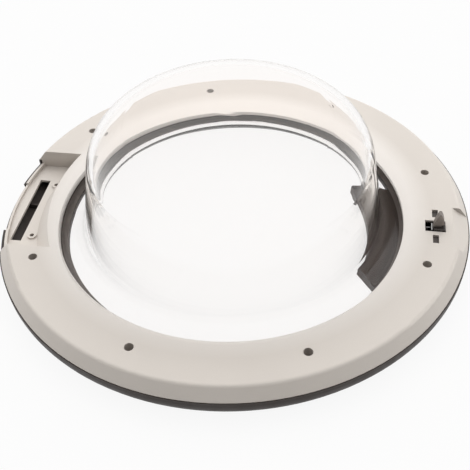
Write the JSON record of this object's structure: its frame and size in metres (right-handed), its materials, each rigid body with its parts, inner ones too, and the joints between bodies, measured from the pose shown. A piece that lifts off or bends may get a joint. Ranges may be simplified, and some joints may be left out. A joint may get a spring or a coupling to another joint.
{
  "type": "washing machine door",
  "caption": "Round washing machine door: pale inner ring, dark front trim, clear domed glass bowl, finger grip pocket, hinge recess and a sprung latch hook.",
  "frame": {"origin": "middle of the ring, on the front plane that the door lies on", "axes": "+Z from the front towards the drum side, +X from the hinge side towards the latch side"},
  "size_m": [0.451, 0.4519, 0.137],
  "materials": {
    "ring_plastic": "satin moulded, fine grain",
    "trim_plastic": "satin dark",
    "bowl_glass": "clear pressed",
    "gasket_rubber": "matt black",
    "grip_plastic": "satin dark brown",
    "hook_metal": "dull grey cast",
    "bracket_steel": "zinc plated",
    "pin_steel": "bright turned",
    "spring_steel": "bright drawn wire",
    "screw_steel": "plated",
    "bar_steel": "plated"
  },
  "bodies": {
    "door": {"inner_frame": "ring_plastic", "outer_frame": "trim_plastic", "door_glass": "bowl_glass", "glass_gasket": "gasket_rubber", "grip_shell": "grip_plastic", "frame_screws": "screw_steel", "hinge_bar": "bar_steel", "latch_bracket": "bracket_steel", "latch_pin": "pin_steel", "pin_clip": "spring_steel", "latch_screws": "screw_steel"},
    "hook": {"latch_hook": "hook_metal", "latch_spring": "spring_steel"}
  },
  "joints": [
    {"name": "hook_pivot", "type": "hinge", "parent": "door", "child": "hook", "pos_m": [0.194, -0.0137, 0.0215], "axis": [0, 1, 0], "range_deg": [-20, 0], "stiffness_Nm_per_rad": 0.15, "springref_deg": 28.65, "deforming": ["latch_spring"]}
  ]
}
